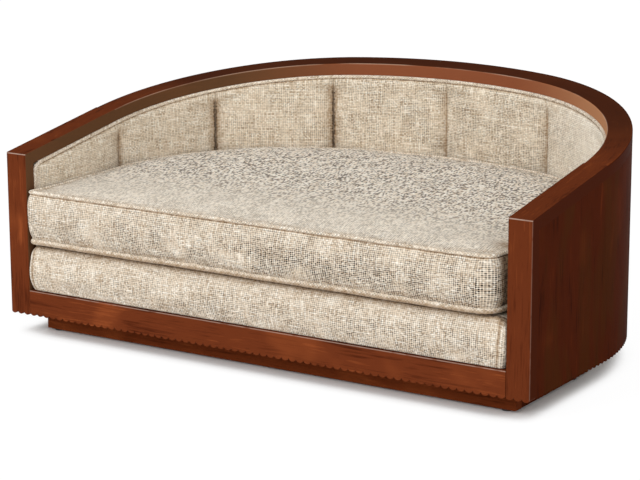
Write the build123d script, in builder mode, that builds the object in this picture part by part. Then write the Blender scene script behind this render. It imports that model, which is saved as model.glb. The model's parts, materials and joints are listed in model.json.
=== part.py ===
from build123d import *
import math
import os

os.makedirs("parts", exist_ok=True)

# A small sofa for a dog. A bent wood wall runs round a D-shaped seat, with a slanted rim on top
# and a row of small round lobes along its lower edge. Inside it are eight upholstered channels,
# and a loose box cushion lies on a padded deck. Millimetres, +Z up. The open front
# faces -Y, and the origin is on the floor under the middle of the sofa.

# Plan of the wall, taken on its outer face
width = 914.4
arm_straight = 228.6
shoulder_spread = 81.2
back_radius = 720.0
wall_thickness = 38.1

# Front frame and rim
post_depth = 19.05
rim_thickness = 19.05
rim_front_height = 287.0
rim_slope_angle = 9.0
eased_radius = 2.5
apron_top = 71.0

# Round lobes along the lower edge
lobe_tip_height = 31.0
lobe_depth = 4.4
lobe_pitch = 12.7
lobe_dip = 0.03
post_lobes = 3

# Skins and carcass behind the finished wood
shell_thickness = 9.0
stud_width = 30.0
liner_thickness = 3.0
liner_setback = 9.0
board_thickness = 18.0
deck_thickness = 12.0
joist_spacing = 300.0

# Recessed plinth and its glides
plinth_recess = 38.0
plinth_inset = 41.0
plinth_height = 47.0
block_leg = 45.0
glide_thickness = 3.0
glide_radius = 8.0

# Upholstery
deck_top = 144.5
deck_pad_thickness = 19.0
band_swell = 5.0
band_foot_setback = 4.0
band_roll = 14.0
band_end_radius = 5.0
channel_count = 8
channel_crown = 10.0
channel_roll = 14.0
channel_corner_radius = 7.5
seam_setback = 1.0
welt_diameter = 6.0
welt_side_count = 8
welt_corner_radius = 10.0

# Loose seat cushion
boxing_height = 76.0
cushion_crown = 16.0
cushion_front_swell = 3.0
cushion_corner_radius = 24.0
cushion_wall = 4.0
bottom_turn = 3.0
flare_length = 22.0

# Fasteners
dowel_radius = 4.0
dowel_length = 40.0
screw_radius = 2.0
screw_head_radius = 4.0
screw_length = 40.0

# Clearances
seat_gap = 0.3
soft_gap = 1.0
post_gap = 3.4
dowel_gap = 0.15
overrun = 2.0

# Worked-out plan: a straight arm, a shoulder arc and a flatter back arc, each tangent to the next
shoulder_centre_x = shoulder_spread
shoulder_radius = width / 2 - shoulder_centre_x
back_centre_drop = math.sqrt((back_radius - shoulder_radius) ** 2 - shoulder_centre_x ** 2)
shoulder_angle = math.degrees(math.atan2(back_centre_drop, shoulder_centre_x))
depth = arm_straight - back_centre_drop + back_radius
front_y = (band_swell - depth) / 2
spring_y = front_y + arm_straight
back_centre_y = spring_y - back_centre_drop
lean_angle = 90 - shoulder_angle

# Worked-out levels and offsets. An offset is measured inward from the outer face of the wall.
notch_height = lobe_tip_height + lobe_depth
plinth_top = glide_thickness + plinth_height
base_top = plinth_top + board_thickness
deck_under = deck_top - deck_pad_thickness - deck_thickness
deck_board_top = deck_under + deck_thickness
stud_outer = shell_thickness + 2 * seat_gap
liner_inner = wall_thickness - liner_setback
liner_outer = liner_inner - liner_thickness
channel_back = liner_inner + seat_gap
seam_offset = wall_thickness - seam_setback
crown_offset = seam_offset + channel_crown
cushion_offset = crown_offset + soft_gap
welt_radius = welt_diameter / 2
welt_offset = wall_thickness - seam_setback / 2
back_y = front_y + depth
slope = math.tan(math.radians(rim_slope_angle))
upright_rim_thickness = rim_thickness / math.cos(math.radians(rim_slope_angle))
tall = rim_front_height + depth

# Planes that trim the frame: the rim's two faces, and the mitre between rim and post
top_plane = Plane(
    origin=(0, front_y, rim_front_height),
    x_dir=(1, 0, 0),
    z_dir=(0, -math.sin(math.radians(rim_slope_angle)), math.cos(math.radians(rim_slope_angle))),
)
under_plane = top_plane.offset(-rim_thickness)
mitre_drop = upright_rim_thickness - slope * post_depth
mitre_plane = Plane(
    origin=(0, front_y, rim_front_height), x_dir=(1, 0, 0), z_dir=(0, mitre_drop, post_depth)
)
front_plane = Plane(origin=(0, front_y, 0), x_dir=(1, 0, 0), z_dir=(0, -1, 0))


def under_rim(y):
    """Height of the rim's lower face at a depth y."""
    return rim_front_height + slope * (y - front_y) - upright_rim_thickness


def inner_wall_y(x, offset):
    """Depth y of the back arc at a distance x from the middle, on the line at an offset."""
    return back_centre_y + math.sqrt((back_radius - offset) ** 2 - x ** 2)


def run_lengths(offset):
    """Half the back arc and the whole shoulder arc, measured along the line at an offset."""
    back_half = (back_radius - offset) * math.radians(lean_angle)
    shoulder = (shoulder_radius - offset) * math.radians(shoulder_angle)
    return back_half, shoulder


def wall_place(travel, offset):
    """Point and heading on the line at an offset. Travel is 0 at the middle of the back."""
    back_half, shoulder = run_lengths(offset)
    side = math.copysign(1, travel)
    along = abs(travel)
    if along <= back_half:
        turn = along / (back_radius - offset)
        radius = back_radius - offset
        x, y = radius * math.sin(turn), back_centre_y + radius * math.cos(turn)
    elif along <= back_half + shoulder:
        radius = shoulder_radius - offset
        turn = math.radians(lean_angle) + (along - back_half) / radius
        x, y = shoulder_centre_x + radius * math.sin(turn), spring_y + radius * math.cos(turn)
    else:
        turn = math.radians(90)
        x, y = width / 2 - offset, spring_y - (along - back_half - shoulder)
    return side * x, y, side * turn


def across_wall(travel, offset):
    """Upright plane square to the wall: local x is the inward offset and local y is height."""
    x, y, turn = wall_place(travel, offset)
    inward = (-math.sin(turn), -math.cos(turn), 0)
    outer = (x - inward[0] * offset, y - inward[1] * offset, 0)
    return Plane(origin=outer, x_dir=inward, z_dir=(-math.cos(turn), math.sin(turn), 0))


def along_wall(travel):
    """Upright plane on the wall's outer face: local x runs along it and local y is height."""
    x, y, turn = wall_place(travel, 0)
    return Plane(
        origin=(x, y, 0), x_dir=(-math.cos(turn), math.sin(turn), 0),
        z_dir=(math.sin(turn), math.cos(turn), 0),
    )


def wall_line(offset, start):
    """The line at an offset from the left arm round the back to the right arm."""
    half = width / 2 - offset
    shoulder = shoulder_radius - offset
    with BuildLine() as line:
        CenterArc((-shoulder_centre_x, spring_y), shoulder, 180, -shoulder_angle)
        CenterArc((0, back_centre_y), back_radius - offset, 90 + lean_angle, -2 * lean_angle)
        CenterArc((shoulder_centre_x, spring_y), shoulder, shoulder_angle, -shoulder_angle)
        if start < arm_straight:
            Line((-half, front_y + start), (-half, spring_y))
            Line((half, spring_y), (half, front_y + start))
    return line.line


def wall_band(outer, inner, start):
    """Plan of a strip that follows the wall between two offsets."""
    with BuildSketch() as band:
        with BuildLine():
            add(wall_line(outer, start))
            add(wall_line(inner, start))
            for side in (-1, 1):
                Line(
                    (side * (width / 2 - outer), front_y + start),
                    (side * (width / 2 - inner), front_y + start),
                )
        make_face()
    return band.sketch


def wall_plate(offset, start):
    """Plan of a board that fills the line at an offset, with a straight front edge."""
    with BuildSketch() as plate:
        with BuildLine():
            add(wall_line(offset, start))
            Line((width / 2 - offset, front_y + start), (offset - width / 2, front_y + start))
        make_face()
    return plate.sketch


def scallop_waste(left, right, lobes):
    """Front view of what is cut away below a row of round lobes."""
    pitch = (right - left) / lobes
    floor_line = lobe_tip_height - overrun
    with BuildSketch(front_plane) as waste:
        with BuildLine():
            for lobe in range(lobes):
                start = left + lobe * pitch
                ThreePointArc(
                    (start, notch_height),
                    (start + pitch / 2, lobe_tip_height),
                    (start + pitch, notch_height),
                )
            Polyline(
                (right, notch_height), (right, floor_line), (left, floor_line), (left, notch_height)
            )
        make_face()
    return waste.sketch


# Left post and arm rim, shaped as one run of wood and then parted at the mitre
post_left_x = -width / 2
with BuildPart() as left_corner:
    with BuildSketch(Plane.YZ.offset(post_left_x)):
        with BuildLine():
            Polyline(
                (front_y, lobe_tip_height - overrun),
                (front_y, rim_front_height),
                (spring_y, rim_front_height + slope * arm_straight),
                (spring_y, under_rim(spring_y)),
                (front_y + post_depth, under_rim(front_y + post_depth)),
                (front_y + post_depth, lobe_tip_height - overrun),
                close=True,
            )
        make_face()
    extrude(amount=wall_thickness)
    front_edges = left_corner.faces().sort_by(Axis.Y)[0].edges()
    top_edges = left_corner.faces().sort_by(Axis.Z)[-1].edges()
    lower_edges = left_corner.edges().group_by(Axis.Z)[0]
    rear_edges = left_corner.edges().group_by(Axis.Y)[-1]
    fillet(ShapeList(set(front_edges + top_edges) - set(lower_edges + rear_edges)), eased_radius)
    with BuildSketch(front_plane):
        add(scallop_waste(post_left_x, post_left_x + wall_thickness, post_lobes))
    extrude(amount=-(post_depth + overrun), mode=Mode.SUBTRACT)

apron_half = width / 2 - wall_thickness
apron_lobes = round(2 * apron_half / lobe_pitch)
apron_levels = (
    notch_height + dowel_radius + lobe_depth,
    apron_top - dowel_radius - lobe_depth,
)
apron_dowel_places = [
    Plane(
        origin=(side * apron_half, front_y + post_depth / 2, level),
        x_dir=(0, 1, 0), z_dir=(side, 0, 0),
    )
    for side in (-1, 1)
    for level in apron_levels
]
rim_dowel_places = [
    Plane(
        origin=(
            side * (width / 2 - wall_thickness / 2) + spread * wall_thickness / 4,
            spring_y,
            (rim_front_height + slope * arm_straight + under_rim(spring_y)) / 2,
        ),
        x_dir=(1, 0, 0), z_dir=(0, 1, slope),
    )
    for side in (-1, 1)
    for spread in (-1, 1)
]

with BuildPart() as left_post:
    add(left_corner.part)
    split(bisect_by=mitre_plane, keep=Keep.BOTTOM)
    with Locations(*apron_dowel_places):
        Cylinder(dowel_radius + dowel_gap, dowel_length + 2 * dowel_gap, mode=Mode.SUBTRACT)
left_post.part.label = "left_post"

with BuildPart() as left_arm_rim:
    add(left_corner.part)
    split(bisect_by=mitre_plane, keep=Keep.TOP)
    with Locations(*rim_dowel_places):
        Cylinder(dowel_radius + dowel_gap, dowel_length + 2 * dowel_gap, mode=Mode.SUBTRACT)
left_arm_rim.part.label = "left_arm_rim"

with BuildPart() as right_post:
    mirror(left_post.part, about=Plane.YZ)
right_post.part.label = "right_post"

with BuildPart() as right_arm_rim:
    mirror(left_arm_rim.part, about=Plane.YZ)
right_arm_rim.part.label = "right_arm_rim"

# Curved rim round the shoulders and the back, between two slanted faces
with BuildPart() as back_rim:
    with BuildSketch():
        add(wall_band(0, wall_thickness, arm_straight))
    extrude(amount=tall)
    split(bisect_by=top_plane, keep=Keep.BOTTOM)
    split(bisect_by=under_plane, keep=Keep.TOP)
    rim_ends = back_rim.edges().group_by(Axis.Y)[0]
    rim_top = back_rim.faces().filter_by(Axis(top_plane.origin, top_plane.z_dir))[-1]
    fillet(ShapeList(set(rim_top.edges()) - set(rim_ends)), eased_radius)
    with Locations(*rim_dowel_places):
        Cylinder(dowel_radius + dowel_gap, dowel_length + 2 * dowel_gap, mode=Mode.SUBTRACT)
back_rim.part.label = "back_rim"

# Apron: the scalloped rail between the posts
with BuildPart() as apron:
    with BuildSketch(front_plane):
        with BuildLine():
            Polyline(
                (-apron_half, lobe_tip_height - overrun),
                (apron_half, lobe_tip_height - overrun),
                (apron_half, apron_top),
                (-apron_half, apron_top),
                close=True,
            )
        make_face()
        add(scallop_waste(-apron_half, apron_half, apron_lobes), mode=Mode.SUBTRACT)
    extrude(amount=-post_depth)
    with Locations(*apron_dowel_places):
        Cylinder(dowel_radius + dowel_gap, dowel_length + 2 * dowel_gap, mode=Mode.SUBTRACT)
apron.part.label = "apron"

with BuildPart() as apron_dowels:
    with Locations(*apron_dowel_places):
        Cylinder(dowel_radius, dowel_length)
apron_dowels.part.label = "apron_dowels"

with BuildPart() as rim_dowels:
    with Locations(*rim_dowel_places):
        Cylinder(dowel_radius, dowel_length)
rim_dowels.part.label = "rim_dowels"

# Outer shell: one bent, veneered panel with a notch cut between each two lobes
outer_half = sum(run_lengths(0)) + arm_straight - post_depth
shell_lobes = round(2 * outer_half / lobe_pitch)
shell_pitch = 2 * outer_half / shell_lobes
with BuildPart() as outer_shell:
    with BuildSketch(Plane.XY.offset(lobe_tip_height)):
        add(wall_band(0, shell_thickness, post_depth))
    extrude(amount=tall)
    split(bisect_by=under_plane, keep=Keep.BOTTOM)
    for notch in range(shell_lobes + 1):
        with BuildSketch(along_wall(notch * shell_pitch - outer_half)):
            with BuildLine():
                lobe_low = lobe_tip_height - lobe_dip
                lobe_half = shell_pitch / 2
                waste_low = lobe_tip_height - overrun
                TangentArc((-lobe_half, lobe_low), (0, notch_height), tangent=(1, 0))
                TangentArc((lobe_half, lobe_low), (0, notch_height), tangent=(-1, 0))
                Polyline(
                    (-lobe_half, lobe_low), (-lobe_half, waste_low),
                    (lobe_half, waste_low), (lobe_half, lobe_low),
                )
            make_face()
    extrude(amount=shell_thickness + overrun, both=True, mode=Mode.SUBTRACT)
outer_shell.part.label = "outer_shell"

# Base board, with countersunk holes for the screws that go up into the studs
seam_run = sum(run_lengths(wall_thickness)) + arm_straight - post_depth
stud_end = seam_run - stud_width / 2 - seat_gap
channel_run = seam_run - welt_diameter - 2 * seat_gap
seam_travels = [channel_run * (2 * n / channel_count - 1) for n in range(channel_count + 1)]
stud_travels = [-stud_end] + seam_travels[1:-1] + [stud_end]
stud_middle = (stud_outer + liner_outer) / 2
screw_places = []
for travel in stud_travels:
    wall_x, wall_y, wall_turn = wall_place(travel, wall_thickness)
    reach = wall_thickness - stud_middle
    screw_places.append(
        Plane(
            origin=(
                wall_x + reach * math.sin(wall_turn), wall_y + reach * math.cos(wall_turn), plinth_top
            ),
            z_dir=(0, 0, -1),
        )
    )

with BuildPart() as base_board:
    with BuildSketch(Plane.XY.offset(plinth_top)):
        add(wall_plate(shell_thickness + seat_gap, post_depth))
    extrude(amount=board_thickness)
    with Locations(*screw_places):
        CounterSinkHole(screw_radius + dowel_gap, screw_head_radius + dowel_gap)
base_board.part.label = "base_board"

with BuildPart() as wall_studs:
    for travel in stud_travels:
        with BuildSketch(across_wall(travel, wall_thickness)):
            with BuildLine():
                Polyline(
                    (stud_outer, base_top), (liner_outer - seat_gap, base_top),
                    (liner_outer - seat_gap, tall), (stud_outer, tall), close=True,
                )
            make_face()
    extrude(amount=stud_width / 2, both=True)
    split(bisect_by=under_plane, keep=Keep.BOTTOM)
    with Locations(*screw_places):
        Hole(screw_radius + dowel_gap, screw_length + seat_gap)
wall_studs.part.label = "wall_studs"

with BuildPart() as screw:
    with BuildSketch(Plane.XZ):
        with BuildLine():
            Polyline(
                (0, 0), (screw_head_radius, 0), (screw_radius, screw_radius - screw_head_radius),
                (screw_radius, -screw_length), (0, -screw_length), close=True,
            )
        make_face()
    revolve(axis=Axis.Z)

with BuildPart() as base_screws:
    with Locations(*screw_places):
        add(screw.part)
base_screws.part.label = "base_screws"

# Thin liner on the inner side of the studs, which carries the channels
with BuildPart() as wall_liner:
    with BuildSketch(Plane.XY.offset(base_top)):
        add(wall_band(liner_outer, liner_inner, post_depth))
    extrude(amount=tall)
    split(bisect_by=under_plane, keep=Keep.BOTTOM)
wall_liner.part.label = "wall_liner"

# Deck frame: a rail behind the front padding, two joists and a cleat along each arm
rail_y = front_y + post_depth
joist_start = rail_y + board_thickness
inner_half = width / 2 - liner_inner - seat_gap
with BuildPart() as seat_rail:
    with BuildSketch(Plane.XY.offset(base_top)):
        with Locations((0, rail_y)):
            Rectangle(2 * inner_half, board_thickness, align=(Align.CENTER, Align.MIN))
    extrude(amount=deck_under - base_top)
seat_rail.part.label = "seat_rail"

joist_outer_x = joist_spacing / 2 + board_thickness / 2
joist_end = inner_wall_y(joist_outer_x, liner_inner) - seat_gap
with BuildPart() as right_joist:
    with BuildSketch(Plane.XY.offset(base_top)):
        with Locations((joist_outer_x, joist_start)):
            Rectangle(board_thickness, joist_end - joist_start, align=(Align.MAX, Align.MIN))
    extrude(amount=deck_under - base_top)
right_joist.part.label = "right_joist"

with BuildPart() as left_joist:
    mirror(right_joist.part, about=Plane.YZ)
left_joist.part.label = "left_joist"

with BuildPart() as right_cleat:
    with BuildSketch(Plane.XY.offset(deck_under)):
        with Locations((inner_half, joist_start)):
            Rectangle(board_thickness, spring_y - joist_start, align=(Align.MAX, Align.MIN))
    extrude(amount=-board_thickness)
right_cleat.part.label = "right_cleat"

with BuildPart() as left_cleat:
    mirror(right_cleat.part, about=Plane.YZ)
left_cleat.part.label = "left_cleat"

with BuildPart() as deck_panel:
    with BuildSketch(Plane.XY.offset(deck_under)):
        add(wall_plate(liner_inner + seat_gap, post_depth))
    extrude(amount=deck_thickness)
deck_panel.part.label = "deck_panel"

# Plinth: a straight front board, a bent board behind it, a brace, glue blocks and glides
plinth_front_y = front_y + plinth_recess
plinth_half = width / 2 - plinth_inset
plinth_inner = plinth_inset + board_thickness
wrap_start = plinth_recess + board_thickness
with BuildPart() as plinth_front:
    with BuildSketch(Plane.XY.offset(glide_thickness)):
        with Locations((0, plinth_front_y)):
            Rectangle(2 * plinth_half, board_thickness, align=(Align.CENTER, Align.MIN))
    extrude(amount=plinth_height)
    fillet(plinth_front.edges().filter_by(Axis.Z).group_by(Axis.Y)[0], eased_radius / 2)
plinth_front.part.label = "plinth_front"

with BuildPart() as plinth_wrap:
    with BuildSketch(Plane.XY.offset(glide_thickness)):
        add(wall_band(plinth_inset, plinth_inner, wrap_start))
    extrude(amount=plinth_height)
plinth_wrap.part.label = "plinth_wrap"

brace_end = inner_wall_y(board_thickness / 2, plinth_inner) - seat_gap
with BuildPart() as plinth_brace:
    with BuildSketch(Plane.XY.offset(glide_thickness)):
        with Locations((0, front_y + wrap_start)):
            Rectangle(
                board_thickness, brace_end - front_y - wrap_start, align=(Align.CENTER, Align.MIN)
            )
    extrude(amount=plinth_height)
plinth_brace.part.label = "plinth_brace"

block_corner_x = width / 2 - plinth_inner
block_corner_y = front_y + wrap_start
with BuildPart() as plinth_blocks:
    with BuildSketch(Plane.XY.offset(glide_thickness)):
        for side in (-1, 1):
            with BuildLine():
                Polyline(
                    (side * block_corner_x, block_corner_y),
                    (side * block_corner_x, block_corner_y + block_leg),
                    (side * (block_corner_x - block_leg), block_corner_y),
                    close=True,
                )
            make_face()
    extrude(amount=plinth_height)
plinth_blocks.part.label = "plinth_blocks"

glide_line = plinth_inset + board_thickness / 2
glide_shoulder_run = sum(run_lengths(glide_line))
glide_centres = [
    (side * (plinth_half - board_thickness), plinth_front_y + board_thickness / 2)
    for side in (-1, 1)
]
for glide_share in (-1, -1 / 3, 1 / 3, 1):
    glide_centres.append(wall_place(glide_share * glide_shoulder_run, glide_line)[:2])
with BuildPart() as glides:
    with BuildSketch():
        with Locations(*glide_centres):
            Circle(glide_radius)
    extrude(amount=glide_thickness)
    chamfer(glides.edges().group_by(Axis.Z)[0], glide_thickness / 4)
glides.part.label = "glides"

# Padded front band on the seat rail: a swollen face that rolls back over its top edge
band_back = front_y + post_depth - seat_gap
band_low = apron_top + seat_gap
band_half = apron_half - soft_gap
with BuildPart() as front_band:
    with BuildSketch(Plane.YZ.offset(-band_half)):
        with BuildLine():
            foot = (front_y + band_foot_setback, band_low)
            knee = (front_y + band_foot_setback / 2, deck_top - band_roll)
            belly = (front_y - band_swell, (band_low + deck_top - band_roll) / 2)
            face_arc = ThreePointArc(foot, belly, knee)
            roll_end = (band_back - band_foot_setback / 2, deck_top)
            TangentArc(knee, roll_end, tangent=face_arc % 1)
            Polyline(roll_end, (band_back, deck_top), (band_back, band_low), foot)
        make_face()
    extrude(amount=2 * band_half)
    band_ends = front_band.edges().filter_by(GeomType.CIRCLE)
    fillet(band_ends, band_end_radius)
front_band.part.label = "front_band"

with BuildPart() as deck_pad:
    with BuildSketch(Plane.XY.offset(deck_board_top)):
        add(wall_plate(cushion_offset, post_depth + seat_gap))
    extrude(amount=deck_pad_thickness)
deck_pad.part.label = "deck_pad"

# Eight upright channels: each is flat against the liner, drawn in at its two seams, swollen
# between them on the rounded shape of a superellipse, and rolled over at the top under the welt
channel_foot = deck_board_top + seat_gap
roll_start = welt_offset - welt_radius


def channel_section(travel, swell):
    """Section of a channel, swollen by a share of the crown."""
    plane = across_wall(travel, wall_thickness)
    face = seam_offset + channel_crown * swell
    drop = welt_diameter + 2 * seat_gap
    face_top = under_rim(plane.origin.Y + face * plane.x_dir.Y) - drop
    roll_top = under_rim(plane.origin.Y + roll_start * plane.x_dir.Y) - drop
    back_top = under_rim(plane.origin.Y + channel_back * plane.x_dir.Y) - drop
    with BuildSketch(plane) as section:
        with BuildLine():
            Polyline(
                (channel_back, channel_foot), (face, channel_foot), (face, face_top - channel_roll)
            )
            TangentArc((face, face_top - channel_roll), (roll_start, roll_top), tangent=(0, 1))
            Polyline((roll_start, roll_top), (channel_back, back_top), (channel_back, channel_foot))
        make_face()
    return section.sketch


# Rounded front top corner of the end channels and of the welt that follows it
corner_angle = (90 + rim_slope_angle) / 2
slope_run = math.cos(math.radians(rim_slope_angle))
slope_rise = math.sin(math.radians(rim_slope_angle))
channel_end_y = spring_y - (channel_run - sum(run_lengths(wall_thickness)))


def corner_points(corner, radius):
    """Where an arc of a radius meets the upright edge and the slanted edge of a corner."""
    reach = radius / math.tan(math.radians(corner_angle))
    low = (corner[0], corner[1] - reach)
    high = (corner[0] + reach * slope_run, corner[1] + reach * slope_rise)
    return low, high


swell_power = 2.4
channel_stop_shares = (0, 0.03, 0.1, 0.22, 0.36, 0.5, 0.64, 0.78, 0.9, 0.97, 1)
channel_shares = [
    (share, (1 - abs(2 * share - 1) ** swell_power) ** (1 / swell_power))
    for share in channel_stop_shares
]
end_corner = (channel_end_y, under_rim(channel_end_y) - welt_diameter - 2 * seat_gap)
corner_low, corner_high = corner_points(end_corner, channel_corner_radius)
channels = []
for number in range(channel_count):
    seam_start = seam_travels[number]
    channel_width = seam_travels[number + 1] - seam_start
    with BuildPart() as channel:
        loft(
            sections=[
                channel_section(seam_start + share * channel_width, swell)
                for share, swell in channel_shares
            ],
            ruled=True,
        )
        if number in (0, channel_count - 1):
            with BuildSketch(Plane.YZ):
                with BuildLine():
                    TangentArc(corner_low, corner_high, tangent=(0, 1))
                    Polyline(
                        corner_high,
                        (corner_high[0], end_corner[1] + channel_corner_radius),
                        (channel_end_y - overrun, end_corner[1] + channel_corner_radius),
                        (channel_end_y - overrun, corner_low[1]),
                        corner_low,
                    )
                make_face()
            extrude(amount=width / 2, both=True, mode=Mode.SUBTRACT)
    channel.part.label = f"channel_{number + 1}"
    channels.append(channel)

# Back welt: a cord under the rim that turns down behind each post. In its slanted plane it runs on
# three arcs, chosen so that they leave the arms squarely and meet the middle of the back.
welt_plane = under_plane.offset(-(welt_radius + seat_gap))
welt_x = width / 2 - welt_offset
welt_y = front_y + post_depth + welt_radius + seat_gap
welt_corner = (welt_y, under_rim(welt_y) - (welt_radius + seat_gap) / slope_run)
turn_low, turn_high = corner_points(welt_corner, welt_corner_radius)
back_line = back_radius - welt_offset
spring_reach = (spring_y - welt_plane.origin.Y) / slope_run
crown_reach = (back_centre_y + back_line - spring_y) / slope_run
shoulder_line = (welt_x ** 2 + crown_reach ** 2 - 2 * back_line * crown_reach) / (
    2 * (welt_x - back_line)
)
shoulder_x = welt_x - shoulder_line
back_drop = math.sqrt((back_line - shoulder_line) ** 2 - shoulder_x ** 2)
welt_angle = math.degrees(math.atan2(back_drop, shoulder_x))
with BuildPart() as back_welt:
    with BuildLine(welt_plane) as slanted:
        CenterArc((-shoulder_x, spring_reach), shoulder_line, 180 - welt_angle, welt_angle)
        CenterArc((0, spring_reach - back_drop), back_line, welt_angle, 180 - 2 * welt_angle)
        CenterArc((shoulder_x, spring_reach), shoulder_line, 0, welt_angle)
    with BuildLine():
        spring_level = under_rim(spring_y) - (welt_radius + seat_gap) / slope_run
        for side in (-1, 1):
            x = side * welt_x
            Line((x, welt_y, channel_foot), (x, *turn_low))
            TangentArc((x, *turn_low), (x, *turn_high), tangent=(0, 0, 1))
            Line((x, *turn_high), (x, spring_y, spring_level))
    with BuildSketch(Plane(origin=(-welt_x, welt_y, channel_foot))):
        RegularPolygon(welt_radius, welt_side_count)
    sweep()
back_welt.part.label = "back_welt"

# Seat cushion: plan outline between the posts, drawn in to the channels behind them
post_half = width / 2 - wall_thickness - post_gap
wall_half = width / 2 - cushion_offset
cushion_front_y = front_y - cushion_front_swell
flare_start = cushion_front_y + cushion_corner_radius
flare_end = flare_start + flare_length
cushion_low = deck_top + seat_gap
cushion_seam = cushion_low + welt_radius + boxing_height
cushion_top = cushion_seam + cushion_crown
cushion_middle_y = (cushion_front_y + back_y - cushion_offset) / 2


def cushion_line(inset, scale_share):
    """Plan outline of the cushion, drawn in by an inset and then scaled about its middle."""

    def place(x, y):
        return x * scale_share, cushion_middle_y + (y - cushion_middle_y) * scale_share

    corner_x = post_half - cushion_corner_radius
    corner = (cushion_corner_radius - inset) * scale_share
    shoulder = (shoulder_radius - cushion_offset - inset) * scale_share
    back = (back_radius - cushion_offset - inset) * scale_share
    flare_middle = place((post_half + wall_half) / 2 - inset, (flare_start + flare_end) / 2)
    with BuildLine() as line:
        flank = [
            CenterArc(place(corner_x, flare_start), corner, -90, 90),
            TangentArc(place(post_half - inset, flare_start), flare_middle, tangent=(0, 1)),
            TangentArc(place(wall_half - inset, flare_end), flare_middle, tangent=(0, -1)),
            Line(place(wall_half - inset, flare_end), place(wall_half - inset, spring_y)),
            CenterArc(place(shoulder_centre_x, spring_y), shoulder, 0, shoulder_angle),
        ]
        mirror(flank, about=Plane.YZ)
        CenterArc(place(0, back_centre_y), back, shoulder_angle, 2 * lean_angle)
        Line(
            place(-corner_x, cushion_front_y + inset), place(corner_x, cushion_front_y + inset)
        )
    return line.line


def cushion_section(level, inset, scale_share):
    """Plan section of the cushion at a level."""
    with BuildSketch(Plane.XY.offset(level)) as section:
        with BuildLine():
            add(cushion_line(inset, scale_share))
        make_face()
    return section.sketch


# The crown's plan shrinks in equal steps while its height levels off
crown_power = 3.5
flat_share = 0.4
crown_steps = 6
crown_shares = []
for step in range(crown_steps + 1):
    left_share = 1 - step / crown_steps
    crown_shares.append((flat_share + (1 - flat_share) * left_share, 1 - left_share ** crown_power))

# Cover: a boxing that is drawn in at both welts and swells between them, under a low crown
pinch = welt_diameter + soft_gap
box_low = cushion_low + welt_radius
boxing_stops = (
    (cushion_low, pinch + bottom_turn),
    (box_low, pinch),
    (box_low + boxing_height / 10, pinch / 3),
    (box_low + boxing_height / 4, pinch / 12),
    (box_low + boxing_height / 2, 0),
    (cushion_seam - boxing_height / 4, pinch / 12),
    (cushion_seam - boxing_height / 10, pinch / 3),
    (cushion_seam, pinch),
)
core_inset = pinch + cushion_wall
core_space = cushion_seam - cushion_low - 2 * cushion_wall
with BuildPart() as cushion_cover:
    loft(sections=[cushion_section(level, inset, 1) for level, inset in boxing_stops], ruled=True)
    loft(
        sections=[
            cushion_section(cushion_seam + cushion_crown * rise_share, pinch, scale_share)
            for scale_share, rise_share in crown_shares
        ],
        ruled=True,
    )
    add(cushion_section(cushion_low + cushion_wall, core_inset, 1))
    extrude(amount=core_space, mode=Mode.SUBTRACT)
cushion_cover.part.label = "cushion_cover"

# Foam block that fills the cover, flat on both faces
with BuildPart() as cushion_core:
    add(cushion_section(cushion_low + cushion_wall + seat_gap, core_inset + seat_gap, 1))
    extrude(amount=core_space - 2 * seat_gap)
cushion_core.part.label = "cushion_core"

cushion_welts = []
for name, level in (("bottom_welt", cushion_low + welt_radius), ("top_welt", cushion_seam)):
    welt_line = cushion_line(welt_radius, 1).moved(Location((0, 0, level)))
    with BuildPart() as welt:
        with BuildLine() as welt_path:
            add(welt_line)
        with BuildSketch(Plane(origin=welt_path.line @ 0, z_dir=welt_path.line % 0)):
            RegularPolygon(welt_radius, welt_side_count)
        sweep()
    welt.part.label = name
    cushion_welts.append(welt)

pieces = [
    left_post, right_post, apron, left_arm_rim, right_arm_rim, back_rim, outer_shell,
    apron_dowels, rim_dowels, base_board, base_screws, wall_studs, wall_liner,
    seat_rail, left_joist, right_joist, left_cleat, right_cleat, deck_panel,
    plinth_front, plinth_wrap, plinth_brace, plinth_blocks, glides,
    front_band, deck_pad, back_welt, cushion_core, cushion_cover,
]
for piece in pieces + channels + cushion_welts:
    export_step(piece.part, f"parts/{piece.part.label}.step")
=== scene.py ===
import json
import math

import bmesh
import bpy
import numpy as np
from mathutils import Matrix

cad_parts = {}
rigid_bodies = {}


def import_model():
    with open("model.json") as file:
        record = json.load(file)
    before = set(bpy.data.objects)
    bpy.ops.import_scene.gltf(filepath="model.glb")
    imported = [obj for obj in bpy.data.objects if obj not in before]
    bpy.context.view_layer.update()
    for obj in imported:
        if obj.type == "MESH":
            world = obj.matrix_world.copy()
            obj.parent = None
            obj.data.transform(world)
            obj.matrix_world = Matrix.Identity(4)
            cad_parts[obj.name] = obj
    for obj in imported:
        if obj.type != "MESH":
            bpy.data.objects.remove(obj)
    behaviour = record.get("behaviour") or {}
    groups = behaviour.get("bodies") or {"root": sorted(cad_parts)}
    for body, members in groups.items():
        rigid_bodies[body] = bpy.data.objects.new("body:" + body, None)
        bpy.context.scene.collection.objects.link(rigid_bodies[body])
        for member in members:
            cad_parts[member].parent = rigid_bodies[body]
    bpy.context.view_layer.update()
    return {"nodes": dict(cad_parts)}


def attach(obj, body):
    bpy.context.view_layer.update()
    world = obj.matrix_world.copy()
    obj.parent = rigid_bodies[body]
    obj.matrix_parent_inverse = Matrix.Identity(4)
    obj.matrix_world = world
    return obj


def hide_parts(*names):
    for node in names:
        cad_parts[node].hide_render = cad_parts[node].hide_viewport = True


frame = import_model()
scene = bpy.context.scene
nodes = frame["nodes"]


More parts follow.
